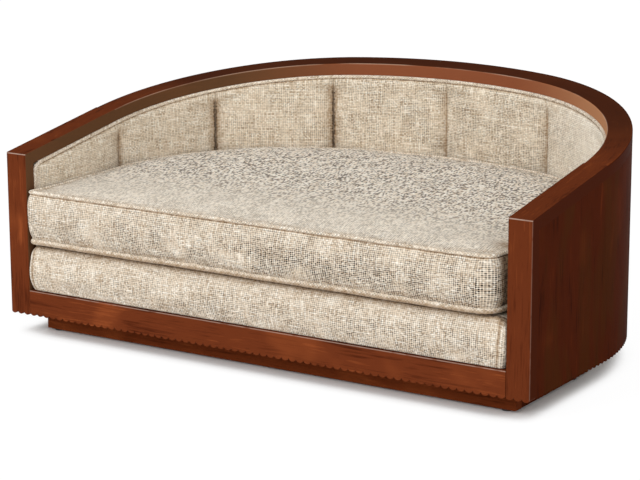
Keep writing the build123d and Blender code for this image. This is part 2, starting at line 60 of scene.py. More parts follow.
# Studio: a white floor and room, soft light from the front left, and a long lens that stands
# right of the open front, a little above the seat.
yaw, pitch, roll = math.radians(32.443), math.radians(13.323), math.radians(-0.185)
camera_place = (1.8298, -2.9969, 0.9743)
focal_pixels, picture_width = 2300.94, 640
ahead = np.array(
    [-math.sin(yaw) * math.cos(pitch), math.cos(yaw) * math.cos(pitch), -math.sin(pitch)]
)
level = np.array([math.cos(yaw), math.sin(yaw), 0.0])
upright = np.cross(level, ahead)
right = math.cos(roll) * level + math.sin(roll) * upright
upward = math.cos(roll) * upright - math.sin(roll) * level
lens = bpy.data.cameras.new("camera")
lens.sensor_width = 36.0
lens.lens = focal_pixels * lens.sensor_width / picture_width
camera = bpy.data.objects.new("camera", lens)
camera_axes = np.column_stack((right, upward, -ahead, camera_place))
camera.matrix_world = Matrix((*camera_axes.tolist(), (0, 0, 0, 1)))
scene.collection.objects.link(camera)
scene.camera = camera
scene.view_settings.view_transform = "Standard"


class Tone:
    """One value in a material's node tree. Arithmetic on it adds Math nodes, node() any other."""

    def __init__(self, tree, socket=None):
        self.tree, self.socket = tree, socket

    def node(self, kind, settings, inputs, out=0):
        made = self.tree.nodes.new(kind)
        for key, value in settings.items():
            if key == "stops":
                ramp = made.color_ramp.elements
                while len(ramp) < len(value):
                    ramp.new(0.5)
                for stop, (place, shade) in zip(ramp, value):
                    stop.position, stop.color = place, (*shade, 1)
            else:
                setattr(made, key, value)
        for key, value in inputs.items():
            if isinstance(value, Tone):
                self.tree.links.new(value.socket, made.inputs[key])
            else:
                made.inputs[key].default_value = value
        return Tone(self.tree, made.outputs[out])

    def math(self, operation, *values):
        return self.node("ShaderNodeMath", {"operation": operation}, dict(enumerate(values)))

    def __add__(self, other):
        return self.math("ADD", self, other)

    def __sub__(self, other):
        return self.math("SUBTRACT", self, other)

    def __rsub__(self, other):
        return self.math("SUBTRACT", other, self)

    def __mul__(self, other):
        return self.math("MULTIPLY", self, other)

    def __truediv__(self, other):
        return self.math("DIVIDE", self, other)

    __radd__, __rmul__ = __add__, __mul__

    def __abs__(self):
        return self.math("ABSOLUTE", self)

    def root(self):
        return self.math("SQRT", self)

    def floor(self):
        return self.math("FLOOR", self)

    def step(self, low, high):
        """Smoothstep: 0 at or below low, 1 at or above high."""
        settings = {"interpolation_type": "SMOOTHSTEP"}
        return self.node("ShaderNodeMapRange", settings, {0: self, 1: low, 2: high})

    def vector(self, x, y, z):
        return self.node("ShaderNodeCombineXYZ", {}, {0: x, 1: y, 2: z})

    def split(self):
        return [self.node("ShaderNodeSeparateXYZ", {}, {0: self}, out) for out in range(3)]

    def noise(self, scale, detail=2.0, distortion=0.0):
        inputs = {"Vector": self, "Scale": scale, "Detail": detail, "Distortion": distortion}
        return self.node("ShaderNodeTexNoise", {}, inputs)

    def ramp(self, *stops):
        return self.node("ShaderNodeValToRGB", {"stops": stops}, {0: self})

    def blend(self, share, colour):
        """This colour mixed towards a plain one by a share."""
        inputs = {0: share, 6: self, 7: (*colour, 1)}
        return self.node("ShaderNodeMix", {"data_type": "RGBA"}, inputs, 2)


def paint(red, green, blue):
    """A colour as a screen shows it, 0 to 255, turned into linear light."""
    shown = np.array([red, green, blue]) / 255
    return tuple(np.where(shown > 0.04045, ((shown + 0.055) / 1.055) ** 2.4, shown / 12.92))


def new_finish(name):
    """An empty material with its shader, and a Tone to start its node tree from."""
    made = bpy.data.materials.new(name)
    made.use_nodes = True
    return made, made.node_tree.nodes["Principled BSDF"], Tone(made.node_tree)


def feed(shader, start, **links):
    """Links tones to the shader's sockets, with _ standing for a space in a socket's name."""
    for name, value in links.items():
        start.tree.links.new(value.socket, shader.inputs[name.replace("_", " ")])


floor_mesh = bpy.data.meshes.new("floor")
floor_reach = 9
floor_corners = [(floor_reach * x, floor_reach * y, 0) for x, y in ((-1, -1), (1, -1), (1, 1), (-1, 1))]
floor_mesh.from_pydata(floor_corners, [], [(0, 1, 2, 3)])
floor = bpy.data.objects.new("floor", floor_mesh)
scene.collection.objects.link(floor)
floor_paint, shader, start = new_finish("floor_paint")
shader.inputs["Base Color"].default_value = (0.9, 0.9, 0.9, 1)
shader.inputs["Roughness"].default_value = 0.9
white = start.node("ShaderNodeEmission", {}, {"Color": (1, 1, 1, 1), "Strength": 1.05})
seen = start.node("ShaderNodeLightPath", {}, {}, "Is Camera Ray")
contact_reach, white_share = 0.055, 0.9
inputs = {"Distance": contact_reach}
open_floor = start.node("ShaderNodeAmbientOcclusion", {"samples": 16}, inputs, "AO")
plain = Tone(start.tree, shader.outputs[0])
share = seen * open_floor.step(0.35, 0.81) * white_share
shown = start.node("ShaderNodeMixShader", {}, {0: share, 1: plain, 2: white})
start.tree.links.new(shown.socket, start.tree.nodes["Material Output"].inputs[0])
floor_mesh.materials.append(floor_paint)

world = bpy.data.worlds.new("studio")
scene.world = world
world.use_nodes = True
start = Tone(world.node_tree)
seen = start.node("ShaderNodeLightPath", {}, {}, "Is Camera Ray")
glossy = start.node("ShaderNodeLightPath", {}, {}, "Is Glossy Ray")
room = start.node("ShaderNodeBackground", {}, {"Color": (1, 0.985, 0.965, 1), "Strength": 0.66})
dim = start.node("ShaderNodeBackground", {}, {"Color": (1, 1, 1, 1), "Strength": 0.25})
sheet = start.node("ShaderNodeBackground", {}, {"Color": (1, 1, 1, 1), "Strength": 1.0})
lit = start.node("ShaderNodeMixShader", {}, {0: glossy, 1: room, 2: dim})
backdrop = start.node("ShaderNodeMixShader", {}, {0: seen, 1: lit, 2: sheet})
world.node_tree.links.new(backdrop.socket, world.node_tree.nodes["World Output"].inputs[0])

for name, toward, power, softness in (
    ("key_light", (0.33, 0.78, -0.53), 1.06, 22),
    ("fill_light", (-0.70, 0.60, -0.40), 1.00, 60),
):
    lamp = bpy.data.lights.new(name, "SUN")
    lamp.energy, lamp.angle = power, math.radians(softness)
    lamp_object = bpy.data.objects.new(name, lamp)
    behind = -np.array(toward) / np.linalg.norm(toward)
    beside = np.cross((0, 0, 1), behind)
    beside /= np.linalg.norm(beside)
    axes = np.column_stack((beside, np.cross(behind, beside), behind))
    lamp_object.matrix_world = Matrix(axes.tolist()).to_4x4()
    scene.collection.objects.link(lamp_object)


# Plan of the bent wall, on its outer face: straight arms, shoulder arcs and a flatter back arc.
# The rim's grain and every soft piece follow it.
half_width = 0.4572
shoulder_x, shoulder_reach = 0.0812, 0.3760
back_reach = 0.7200
front_y = -0.30466
post_depth = 0.01905
arm_straight = 0.2286
spring_y = front_y + arm_straight
back_centre_y = spring_y - math.sqrt((back_reach - shoulder_reach) ** 2 - shoulder_x ** 2)
lean = math.atan2(shoulder_x, spring_y - back_centre_y)
wall_depth = 0.0381
slope = math.radians(9)
rim_front, rim_thickness = 0.287, 0.01905


def rim_over(y):
    """Height of the rim's upper face at a depth y: it climbs to the back at the slope."""
    return rim_front + math.tan(slope) * (y - front_y)


def rim_under(y):
    """Height of the rim's lower face, the rim's thickness squarely below the upper one."""
    return rim_over(y) - rim_thickness / math.cos(slope)


def wall_run(offset):
    """Half the length of the line at an offset inside the wall's outer face, to its springing."""
    return (back_reach - offset) * lean + (shoulder_reach - offset) * (math.pi / 2 - lean)


def wall_at(travel, offset):
    """Points and inward directions on the line at an offset, at travels from the middle.

    The line is two arcs and a straight on each side. An arc point is its centre plus the radius
    times the sine and cosine of travel over radius, and an arm point lies straight in front.
    """
    travel, offset = np.broadcast_arrays(np.asarray(travel, float), np.asarray(offset, float))
    along = abs(travel)
    back_run = (back_reach - offset) * lean
    shoulder_run = (shoulder_reach - offset) * (math.pi / 2 - lean)
    on_back = along < back_run
    shoulder_turn = lean + (along - back_run) / (shoulder_reach - offset)
    turn = np.where(on_back, along / (back_reach - offset), np.minimum(shoulder_turn, math.pi / 2))
    radius = np.where(on_back, back_reach, shoulder_reach) - offset
    past = np.maximum(along - back_run - shoulder_run, 0)
    x = np.where(on_back, 0, shoulder_x) + radius * np.sin(turn)
    y = np.where(on_back, back_centre_y, spring_y) + radius * np.cos(turn) - past
    side = np.where(travel < 0, -1, 1)
    return side * x, y, -side * np.sin(turn), -np.cos(turn)


# Solid wood: posts, apron, rims and the plinth's front board. A red-brown stain under thin
# satin lacquer, gone pale with wear and with a painted highlight along the edges that claws and
# hands reach. The back rim and the right-hand post and arm carry painted light and shade.
def stained_wood(name, grain, tones, edges=(), ribbon=None, reveal=None, satin=0.46, gloss=0.005):
    """Stained wood: streaks drawn out along the grain, over broad figure and warm patches.

    grain is the axis that the streaks follow, or "rim" for streaks round the bent wall. An edge
    is an axis and the other two coordinates of a straight arris, and how strongly it is made pale,
    partly by wear and partly as a painted highlight. ribbon is a second colour that lies in broad
    stripes along the grain. The outer sides of posts and rims are stained as dark as the shell
    below them. reveal is the colour of their inner sides. On the back rim the inner side is painted
    paler towards the right, as painted light, and the upper side round the back is painted darker,
    as painted shade. The right-hand post and arm are painted a little darker, as painted shade.
    """
    made, shader, start = new_finish(name)
    place = start.node("ShaderNodeTexCoord", {}, {}, "Object")
    x, y, z = place.split()
    axes = {"X": x, "Y": y, "Z": z}
    if grain == "rim":
        across_x = abs(x)
        over = y - back_centre_y
        on_back = over.math("LESS_THAN", across_x, over * math.tan(lean))
        run = y.math("MAXIMUM", y - spring_y, 0.0)
        spread = across_x - shoulder_x
        to_back = back_reach - (x * x + over * over).root()
        to_shoulder = shoulder_reach - (spread * spread + run * run).root()
        inside = on_back * to_back + (1 - on_back) * to_shoulder
        fan_reach = 0.35
        round_it = x.math("ARCTAN2", x, y + fan_reach)
        drawn = start.vector(inside, round_it * 0.02, z)
        broad = start.vector(inside, round_it * 0.1, z)
    else:
        drawn = start.vector(*(axes[key] * (0.05 if key == grain else 1.0) for key in "XYZ"))
        broad = start.vector(*(axes[key] * (0.22 if key == grain else 1.0) for key in "XYZ"))
    streak = drawn.noise(330, 4.0, 0.4)
    figure = broad.noise(34, 3.0, 1.2)
    patch = place.noise(9, 2.0, 0.3)
    pores = drawn.noise(1300, 2.0).step(0.60, 0.74)
    deep, middle, warm = tones
    mixed = streak * 0.42 + figure * 0.36 + patch * 0.22
    shade = mixed.ramp((0.36, deep), (0.47, middle), (0.55, middle), (0.66, warm))
    if ribbon:
        stripe = broad.noise(21, 2.0, 0.6).step(0.47, 0.62)
        shade = shade.blend(stripe * (0.2 + streak * 0.5), ribbon)
    shade = shade.blend(pores * 0.35, tuple(0.35 * part for part in deep))
    shade = shade.blend(patch.step(0.54, 0.72) * 0.4, warm)

    def near_arris(beside, above):
        """1 on an arris, 0 from 1.8 mm off, by the root of the two squared distances."""
        return 1 - (beside * beside + above * above).root().step(0.0004, 0.0018)

    shallow, deeper = 0.0004, 0.0009
    if grain == "rim":
        shade = shade.blend(1 - inside.step(shallow, deeper), outer_stain)
        facing_in = inside.step(wall_depth - deeper, wall_depth - shallow)
        shade = shade.blend(facing_in * 0.85, olive_brown)
        # Painted light: the inner side is painted paler from left to right, from olive-brown through
        # the reveal colour to a pale tan at the right-hand end.
        shade = shade.blend(facing_in * x.step(-0.36, -0.12) * 0.9, reveal)
        shade = shade.blend(facing_in * x.step(0.12, 0.38) * 0.7, paint(192, 142, 104))
        above = z - (rim_front - math.tan(slope) * front_y) - y * math.tan(slope)
        # Painted shade: the upper side round the back is painted darker.
        shaded_top = above.step(-0.0007, -0.0003) * y.step(-0.12, 0.12)
        shade = shade.blend(shaded_top * 0.8, paint(56, 27, 14))
        # Painted highlight: a broken pale line along the inner top arris of the back rim.
        broken = start.vector(x, y, z * 0.1).noise(9, 3.0).step(0.40, 0.62)
        wear_and_highlight = near_arris(inside - wall_depth, above) * broken
        shade = shade.blend(wear_and_highlight * 0.5, paint(214, 186, 164))
    elif reveal:
        facing_out = abs(x).step(half_width - deeper, half_width - shallow)
        shade = shade.blend(facing_out, outer_stain)
        past_inner = abs(x).step(inner_side + 0.0003, inner_side + 0.0008)
        shade = shade.blend((1 - past_inner) * 0.85, reveal)
        # Painted shade: the right-hand post and arm are painted a little darker.
        shade = shade.blend(x.step(0.30, 0.40) * 0.18, outer_stain)
    # Each listed arris is made pale, partly as wear and partly as a painted highlight.
    for axis, first, second, share in edges:
        beside, above = (axes[key] for key in "XYZ" if key != axis)
        stretch = (axes[key] * (1.0 if key == axis else 0.1) for key in "XYZ")
        broken = start.vector(*stretch).noise(60, 3.0).step(0.30, 0.50)
        wear_and_highlight = near_arris(abs(beside) - abs(first), above - second) * (0.35 + broken * 0.65)
        shade = shade.blend(wear_and_highlight * share, paint(200, 178, 162))
    height = streak * 0.5 - pores
    inputs = {"Strength": 0.22, "Distance": 0.0003, "Height": height}
    bump = start.node("ShaderNodeBump", {}, inputs)
    shader.inputs["Specular IOR Level"].default_value = gloss
    rough = satin + (streak - 0.5) * 0.12 + pores * 0.1
    feed(shader, start, Base_Color=shade, Roughness=rough, Normal=bump)
    return made


def dress(node_names, finish):
    """Gives CAD nodes a finish."""
    for name in node_names:
        for slot in nodes[name].material_slots:
            slot.material = finish


inner_side = half_width - wall_depth
outer_stain = paint(66, 26, 10)
olive_brown = paint(94, 68, 46)
post_tones = (paint(73, 31, 15), paint(105, 50, 26), paint(140, 72, 38))
top_edge = ("X", front_y, rim_front, 0.8)
side_edge = ("Z", half_width, front_y, 0.22)
post_stain = stained_wood("post_stain", "Z", post_tones, [top_edge, side_edge], reveal=olive_brown)
dress(("left_post", "right_post"), post_stain)
arm_tones = (paint(72, 31, 13), paint(102, 47, 22), paint(128, 64, 31))
arm_stain = stained_wood("arm_stain", "Y", arm_tones, [top_edge], reveal=olive_brown)
dress(("left_arm_rim", "right_arm_rim"), arm_stain)
rim_stain = stained_wood("rim_stain", "rim", arm_tones, reveal=paint(136, 78, 52))
dress(("back_rim",), rim_stain)
apron_top = 0.071
apron_edge = ("X", front_y, apron_top, 0.4)
dress(("apron",), stained_wood("apron_stain", "X", post_tones, [apron_edge]))
dress(("plinth_front",), stained_wood("plinth_stain", "X", arm_tones))


# Bent panels: the outer shell and the plinth's wrap. A dark veneer whose upright figure shows
# red and olive ribbons, glued over bendy ply.
shell_tones = (paint(50, 18, 7), paint(70, 27, 10), paint(94, 40, 16))
olive = paint(64, 36, 12)
dress(
    ("outer_shell", "plinth_wrap"),
    stained_wood("shell_veneer", "Z", shell_tones, ribbon=olive, satin=0.5, gloss=0.004),
)


# Carcass that nobody sees: raw ply and softwood boards, beech dowels, zinc screws and black
# glides. Each is left as it comes from the mill or the packet.
raw_tones = (paint(150, 112, 70), paint(186, 150, 104), paint(212, 180, 134))
dress(
    ("base_board", "deck_panel", "seat_rail", "plinth_brace", "plinth_blocks", "wall_liner"),
    stained_wood("raw_board", "X", raw_tones, satin=0.7),
)
dress(
    ("left_joist", "right_joist", "left_cleat", "right_cleat"),
    stained_wood("raw_batten", "Y", raw_tones, satin=0.7),
)
dress(("wall_studs",), stained_wood("raw_stud", "Z", raw_tones, satin=0.7))
dowel_tones = (paint(170, 132, 88), paint(200, 166, 120), paint(222, 192, 150))
dress(("apron_dowels", "rim_dowels"), stained_wood("dowel_beech", "X", dowel_tones, satin=0.6))

screw_zinc, shader, start = new_finish("screw_zinc")
grain = start.node("ShaderNodeTexCoord", {}, {}, "Object").noise(900, 3.0)
shader.inputs["Metallic"].default_value = 1.0
zinc = grain.ramp((0.3, paint(150, 150, 152)), (0.7, paint(196, 196, 200)))
feed(shader, start, Base_Color=zinc, Roughness=0.28 + grain * 0.2)
dress(("base_screws",), screw_zinc)

glide_black, shader, start = new_finish("glide_black")
grain = start.node("ShaderNodeTexCoord", {}, {}, "Object").noise(1400, 2.0)
black = grain.ramp((0.3, paint(22, 22, 23)), (0.7, paint(40, 40, 41)))
inputs = {"Strength": 0.3, "Distance": 0.0002, "Height": grain}
bump = start.node("ShaderNodeBump", {}, inputs)
feed(shader, start, Base_Color=black, Roughness=0.5 + grain * 0.2, Normal=bump)
dress(("glides",), glide_black)


# Seat cushion: a D-shaped box cushion, foam in a sewn tweed cover. Two panels and a boxing strip
# meet at piped seams; the crown and the boxing are blown out by the filling.
def tweed(name, across=0.0033, down=0.0028, fleck=1.0, speckle=0, warmth=0, pale=0, closed=()):
    """Woven cloth, from the piece's own "cloth" map in metres and its attribute of painted shade.

    Yarns cross on whole numbers of the pitch and take turns on top like the squares of a
    chessboard. A dark hole, wider than high, shows at the centre of each cell between them,
    stronger in clusters of loose weave and towards the right, and slubs, the thick bright
    stretches of a yarn, close it. Painted shade from that attribute turns the cloth golden brown,
    then dark.

    across and down are the pitches, and fleck is how dark the holes are. speckle is the strength
    of short light and dark dashes of yarn on the seat's upper panel, fewer near its front, where
    the panel is also painted paler as painted light. warmth takes blue out of the yarn. pale is
    the strength of painted light that closes the weave and whitens it towards the right-hand end.
    closed gives two heights between which the weave closes up.
    """
    made, shader, start = new_finish(name)
    flat = start.node("ShaderNodeUVMap", {"uv_map": "cloth"}, {})
    fold = start.node("ShaderNodeAttribute", {"attribute_name": "fold"}, {}, "Fac")
    u, v, _ = flat.split()
    wander = 1.8
    count_u = u / across + (flat.noise(11, 3.0) - 0.5) * wander
    count_v = v / down + (flat.noise(9.3, 3.0) - 0.5) * wander
    cell_u, cell_v = count_u.floor(), count_v.floor()
    mid_u = 1 - abs((count_u - cell_u) * 2 - 1)
    mid_v = 1 - abs((count_v - cell_v) * 2 - 1)
    yarn_u, yarn_v = (count_u + 0.5).floor(), (count_v + 0.5).floor()
    ridge_u, ridge_v = abs(count_u - yarn_u) * 2, abs(count_v - yarn_v) * 2
    over = yarn_u.math("PINGPONG", yarn_u + yarn_v, 1.0)
    warp_tone = start.vector(yarn_u * 0.73, v * 34, 3.0).noise(1.0, 2.0)
    weft_tone = start.vector(u * 34, yarn_v * 0.73, 9.0).noise(1.0, 2.0)
    warp_slub = start.vector(yarn_u * 0.61, v * 48, 21.0).noise(1.0, 1.0).step(0.62, 0.72)
    weft_slub = start.vector(u * 48, yarn_v * 0.61, 27.0).noise(1.0, 1.0).step(0.62, 0.72)
    tone = over * warp_tone + (1 - over) * weft_tone
    slub = warp_slub * (1 - ridge_u) + weft_slub * (1 - ridge_v)
    cell = start.vector(cell_u, cell_v, 0.0)
    chance = start.node("ShaderNodeTexWhiteNoise", {}, {"Vector": cell})
    x, y, z = start.node("ShaderNodeTexCoord", {}, {}, "Object").split()
    loose = flat.noise(19, 3.0).step(0.28, 0.60) * (0.5 + x.step(-0.42, 0.05) * 0.5)
    if closed:
        loose = loose * (1 - z.step(*closed) * 0.6)
    wide = (mid_u * 1.6).math("MINIMUM", mid_u * 1.6, 1.0)
    hole = (wide * mid_v).step(0.08, 0.34) * (0.40 + chance * 0.60) * (0.44 + loose * 0.56)
    hole = hole * (1 - warp_slub * 0.6) * (1 - weft_slub * 0.6) * fleck
    yarn = tone.ramp(
        (0.30, paint(196, 174, 148 - warmth)), (0.42, paint(224, 206, 183 - warmth)),
        (0.54, paint(240, 226, 206 - warmth)), (0.68, paint(252, 244, 230 - warmth)),
    )
    yarn = yarn.blend(slub.math("MINIMUM", slub, 1.0) * 0.6, paint(253, 246, 234))
    if speckle:
        on_top = z.step(seam_top + 0.001, seam_top + 0.004)
        far = y.step(front_y + 0.02, front_y + 0.22)
        hole = hole * (1 - on_top * (0.20 + far * 0.40))
        # Painted light: the upper panel is painted paler near its front, where it slopes down towards
        # the light.
        yarn = yarn.blend(on_top * (1 - far) * 0.5, paint(255, 246, 230))
        on_top = on_top * (0.26 + far * 0.74)
        dash_rate, row_rate = 430, 210
        dash = start.vector((u * dash_rate).floor(), (v * row_rate).floor(), 5.0)
        dash = start.node("ShaderNodeTexWhiteNoise", {}, {"Vector": dash})
        yarn = yarn.blend(dash.step(0.56, 0.80) * on_top * speckle, paint(70, 56, 42))
        yarn = yarn.blend((1 - dash.step(0.20, 0.46)) * on_top * speckle, paint(255, 249, 238))
    # Painted light: the weave is closed and whitened towards the right-hand end.
    if pale:
        lit_right = x.step(0.12, 0.36) * pale
        hole = hole * (1 - lit_right)
        yarn = yarn.blend(lit_right, paint(255, 250, 238))
    shade = yarn.blend(hole, paint(34, 23, 14))
    # Painted shade: the attribute turns the cloth golden brown, then dark.
    fold = fold * (0.86 + chance * 0.28)
    shade = shade.blend(fold.step(0.0, 0.7) * 0.6, paint(136, 98, 50))
    shade = shade.blend(fold.step(0.6, 1.0) * 0.85, paint(48, 28, 12))
    height = over * (1 - ridge_u * ridge_u) + (1 - over) * (1 - ridge_v * ridge_v)
    height = height + slub * 0.5 - hole * 0.8 + flat.noise(2600, 2.0) * 0.3
    inputs = {"Strength": 0.5, "Distance": 0.001, "Height": height}
    bump = start.node("ShaderNodeBump", {}, inputs)
    shader.inputs["Sheen Weight"].default_value = 0.1
    shader.inputs["Sheen Roughness"].default_value = 0.5
    shader.inputs["Specular IOR Level"].default_value = 0.18
    feed(shader, start, Base_Color=shade, Roughness=0.86 + tone * 0.12, Normal=bump)
    return made


def panel(grid, cloth, fold=0.0, held=1.0):
    """Points of a panel, their places on the flat cloth, how deep in painted shade, how firmly held."""
    rows, columns = grid.shape[:2]
    return (
        grid, np.broadcast_to(cloth, (rows, columns, 2)),
        np.broadcast_to(fold, (rows, columns)), np.broadcast_to(held, (rows, columns)),
    )


def patch(grid):
    """A hidden panel with a small square of cloth laid over it."""
    rows, columns = grid.shape[:2]
    side = 0.02
    square = np.meshgrid(np.linspace(0, side, columns), np.linspace(0, side, rows))
    return panel(grid, np.dstack(square))


def sew(name, panels, finish, node_names, body):
    """One closed cover: each cell of four neighbours in a panel is a face, panels are joined
    where their edges meet, and the faces are turned outwards."""
    starts = np.cumsum([0] + [grid.shape[0] * grid.shape[1] for grid, *_ in panels])
    faces = []
    for first, (grid, *_) in zip(starts, panels):
        index = first + np.arange(grid.shape[0] * grid.shape[1]).reshape(grid.shape[:2])
        cells = (index[:-1, :-1], index[:-1, 1:], index[1:, 1:], index[1:, :-1])
        faces.append(np.stack(cells, axis=-1).reshape(-1, 4))
    faces = np.concatenate(faces)
    points, cloths, painted_shades, helds = (
        np.concatenate([part.reshape(-1, *part.shape[2:]) for part in parts])
        for parts in zip(*panels)
    )
    mesh = bpy.data.meshes.new(name)
    mesh.from_pydata(points.tolist(), [], faces.tolist())
    cloth_map = mesh.uv_layers.new(name="cloth")
    cloth_map.data.foreach_set("uv", cloths[faces.ravel()].astype(np.float32).ravel())
    for key, values in (("fold", painted_shades), ("held", helds)):
        mesh.attributes.new(key, "FLOAT", "POINT").data.foreach_set("value", values.astype(np.float32))
    shape = bmesh.new()
    shape.from_mesh(mesh)
    merge_reach = 3e-5
    bmesh.ops.remove_doubles(shape, verts=shape.verts, dist=merge_reach)
    bmesh.ops.recalc_face_normals(shape, faces=shape.faces)
    shape.to_mesh(mesh)
    shape.free()
    mesh.polygons.foreach_set("use_smooth", np.ones(len(mesh.polygons), bool))
    mesh.materials.append(finish)
    mesh.update()
    piece = bpy.data.objects.new(name, mesh)
    scene.collection.objects.link(piece)
    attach(piece, body)
    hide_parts(*node_names)
    return piece


def points_of(mesh):
    """The mesh's points as an array of rows of three."""
    flat = np.empty(len(mesh.vertices) * 3, np.float32)
    mesh.vertices.foreach_get("co", flat)
    return flat.reshape(-1, 3).astype(float)


covers = []


def fill(piece, pressure, slack, cap):
    """Sets a cover up to be blown out by its filling: cloth under pressure, held where sewn.

    slack is the share by which the cloth is cut larger, and cap how far a point may move.
    """
    held = np.empty(len(piece.data.vertices), np.float32)
    piece.data.attributes["held"].data.foreach_get("value", held)
    group = piece.vertex_groups.new(name="sewn")
    group.add(np.flatnonzero(held > 0.5).tolist(), 1.0, "REPLACE")
    cloth = piece.modifiers.new("filling", "CLOTH")
    cloth.settings.quality = 5
    cloth.settings.mass = 0.25
    cloth.settings.tension_stiffness = 18
    cloth.settings.compression_stiffness = 8
    cloth.settings.shear_stiffness = 6
    cloth.settings.bending_stiffness = 0.4
    cloth.settings.use_pressure = True
    cloth.settings.uniform_pressure_force = pressure
    cloth.settings.vertex_group_mass = "sewn"
    cloth.settings.shrink_min = -slack
    cloth.settings.effector_weights.gravity = 0
    cloth.collision_settings.use_collision = False
    covers.append((piece, cap))


seam_low, seam_top = 0.1512, 0.2290
pad_depth, front_overhang, post_clear = 0.0481, 0.005, 0.0006
wall_half = half_width - pad_depth
cushion_front = front_y - front_overhang
post_line = inner_side - post_clear
flare_length = 0.032
arc_steps, flare_steps, shoulder_steps, crown_steps = 25, 24, 60, 30


def half_outline(inset, corner, front_steps, side_steps):
    """Right half of the cushion's outline as three runs: front, flank and back.

    corner is the front corner's radius and its gap to the post. The outline is traced as a
    corner arc, an easing curve from beside the post to the wall's line, then the
    shoulder and back arcs, all drawn in by the inset. The runs meet half way round the corner
    and at the middle of the shoulder, and each has equal steps.
    """
    corner, gap = corner
    front_half = inner_side - gap
    turn = np.linspace(-math.pi / 2, 0, arc_steps)
    arc_x = front_half - corner + (corner - inset) * np.cos(turn)
    arc_y = cushion_front + corner + (corner - inset) * np.sin(turn)
    ease = np.linspace(0, 1, flare_steps + 1)[1:]
    ease_x = front_half - inset - (front_half - wall_half) * (3 * ease ** 2 - 2 * ease ** 3)
    ease_y = cushion_front + corner + flare_length * ease
    turn = np.linspace(0, math.pi / 2 - lean, shoulder_steps)
    reach = shoulder_reach - half_width + wall_half - inset
    shoulder = np.stack((shoulder_x + reach * np.cos(turn), spring_y + reach * np.sin(turn)), 1)
    turn = np.linspace(math.pi / 2 - lean, math.pi / 2, crown_steps)[1:]
    reach = back_reach - half_width + wall_half - inset
    crown = np.stack((reach * np.cos(turn), back_centre_y + reach * np.sin(turn)), 1)
    middle = [(0.0, cushion_front + inset)]
    half = np.concatenate(
        (middle, np.stack((arc_x, arc_y), 1), np.stack((ease_x, ease_y), 1), shoulder, crown)
    )
    run = np.concatenate(([0], np.cumsum(np.linalg.norm(np.diff(half, axis=0), axis=1))))
    corner_run = run[1 + arc_steps // 2]
    shoulder_run = run[1 + arc_steps + flare_steps + shoulder_steps // 2]

    def even(start, end, count):
        at = np.linspace(start, end, count)
        return np.stack([np.interp(at, run, half[:, axis]) for axis in (0, 1)], 1)

    return (
        even(0, corner_run, front_steps // 2 + 1), even(corner_run, shoulder_run, side_steps + 1),
        even(shoulder_run, run[-1], front_steps // 2 + 1),
    )


def cushion_outline(inset, corners, front_steps, side_steps):
    """Closed outline as four runs: front, right, back and left. corners are the radius and gap
    of the left and of the right front corner, because a stuffed cushion never sits even."""
    mirror = np.array([-1.0, 1.0])
    left = [run * mirror for run in half_outline(inset, corners[0], front_steps, side_steps)]
    right = half_outline(inset, corners[1], front_steps, side_steps)
    front = np.concatenate((left[0][::-1], right[0][1:]))
    back = np.concatenate((right[2], left[2][:-1][::-1]))
    return front, right[1], back, left[1][::-1]


def spread_between(front, flank, back, left):
    """Coons patch: each point blends the four outline runs by its shares across and along."""
    across = np.linspace(0, 1, len(front))[None, :, None]
    along = np.linspace(0, 1, len(flank))[:, None, None]
    back, left = back[::-1], left[::-1]
    ruled = (1 - along) * front + along * back + (1 - across) * left[:, None] + across * flank[:, None]
    corners = (
        (1 - across) * (1 - along) * front[0] + across * (1 - along) * front[-1]
        + across * along * back[-1] + (1 - across) * along * back[0]
    )
    return ruled - corners


def edge_share(plan):
    """How far each point of a panel lies in from its edge, 0 on the edge and 1 in the middle."""
    across = np.linspace(-1, 1, plan.shape[1])[None]
    along = np.linspace(-1, 1, plan.shape[0])[:, None]
    return (1 - across ** 2) * (1 - along ** 2)


def closed_ring(runs):
    """The four runs end to end, with the first point again at the end."""
    return np.concatenate([run[:-1] for run in runs] + [runs[0][:1]])


top_corners = (0.0068, 0.0022), (0.024, 0.0165)
low_corners = (0.0110, 0.0057), (0.032, 0.0165)
top_pinch, low_pinch = 0.0056, 0.0046
front_cells, side_cells = 132, 66
top_runs = cushion_outline(top_pinch, top_corners, front_cells, side_cells)
low_runs = cushion_outline(low_pinch, low_corners, front_cells, side_cells)
top_plan, low_plan = spread_between(*top_runs), spread_between(*low_runs)


def ease_between(value, low, high):
    """Smoothstep: 0 at or below low, 1 at or above high."""
    share = np.clip((value - low) / (high - low), 0, 1)
    return share * share * (3 - 2 * share)


def seam_over(y):
    """Height of the top seam at a depth y: the stuffing lifts it behind the front corners."""
    lift = 0.0012
    return seam_top + lift * ease_between(y, front_y + 0.002, front_y + 0.042)


seam_thickness = 0.0004
box_low = seam_low + 2 * seam_thickness
crown_rise, crown_power = 0.0130, 2.4
belly_drop, belly_power = 0.0074, 12
inward = edge_share(top_plan)
rumple = np.sin(31 * top_plan[..., 0] + 1.3) * np.sin(27 * top_plan[..., 1] + 0.4)
rumple += 0.6 * np.sin(53 * top_plan[..., 0] - 21 * top_plan[..., 1])
rumple_height = 0.0009
rumple = rumple_height * rumple * np.minimum(inward * 3, 1)
crown = crown_rise * (1 - (1 - inward) ** crown_power) + rumple
top_grid = np.dstack((top_plan, seam_over(top_plan[..., 1]) - seam_thickness + crown))
low_height = box_low - belly_drop * (1 - (1 - edge_share(low_plan)) ** belly_power)
low_grid = np.dstack((low_plan, low_height))

